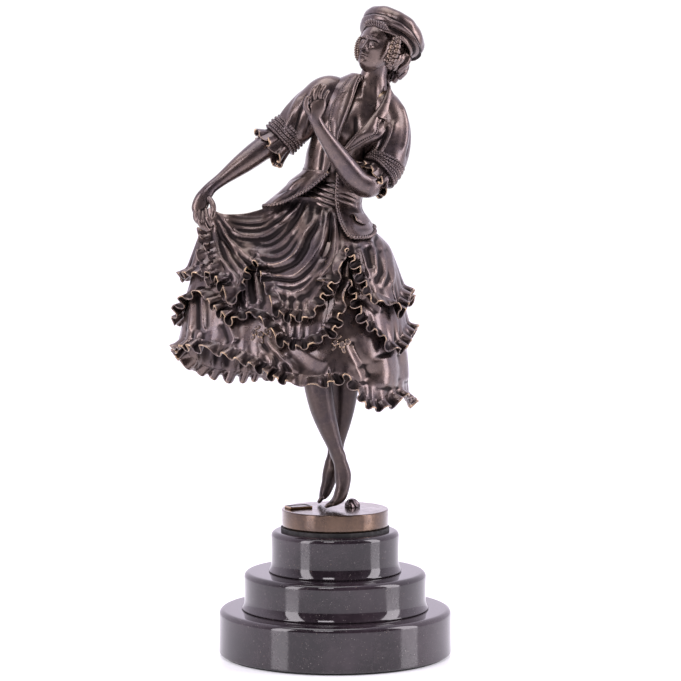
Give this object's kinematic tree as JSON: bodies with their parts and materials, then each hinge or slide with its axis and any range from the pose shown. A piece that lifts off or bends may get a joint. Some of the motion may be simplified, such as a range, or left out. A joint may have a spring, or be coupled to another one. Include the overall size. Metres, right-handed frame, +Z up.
{
  "type": "dancer statuette",
  "caption": "Bronze figure of a dancing girl on tiptoe, lifting her frilled skirt, on a bronze disc and a stepped round base of dark marble",
  "frame": {"origin": "centre of the felt underside, on the axis of the round base", "axes": "+Z up, -Y the front of the figure, +X to the viewer's right"},
  "size_m": [0.1934, 0.16, 0.4463],
  "materials": {
    "bronze": "dark brown patinated bronze, worn to a lighter gold on the edges",
    "disc_bronze": "red-brown patinated bronze, satin",
    "marble": "polished dark grey-brown marble with fine pale specks",
    "steel": "zinc-plated steel",
    "felt": "green felt",
    "bedding": "matt black bedding"
  },
  "bodies": {
    "root": {"felt_pad": "felt", "marble_lower_tier": "marble", "marble_middle_tier": "marble", "marble_upper_tier": "marble", "base_stud": "steel", "stud_washer": "steel", "stud_nut": "steel", "bedding_ring": "bedding", "bronze_disc": "disc_bronze", "disc_plug": "steel", "foundry_plate": "disc_bronze", "rock_mound": "bronze", "foot_nut": "steel", "front_leg": "bronze", "rear_leg": "bronze", "skirt_lower_frill": "bronze", "skirt_middle_frill": "bronze", "overskirt": "bronze", "bodice": "bronze", "sash": "bronze", "jacket_body": "bronze", "jacket_tail": "bronze", "jacket_collar": "bronze", "pocket_flap": "bronze", "right_sleeve": "bronze", "right_cuff_frill": "bronze", "right_forearm": "bronze", "right_hand": "bronze", "left_sleeve": "bronze", "left_cuff_frill": "bronze", "left_forearm": "bronze", "left_hand": "bronze", "neck_dowel": "steel", "head": "bronze", "hair_knot": "bronze", "near_braid": "bronze", "far_braid": "bronze", "fringe": "bronze", "beret": "bronze"}
  },
  "joints": []
}
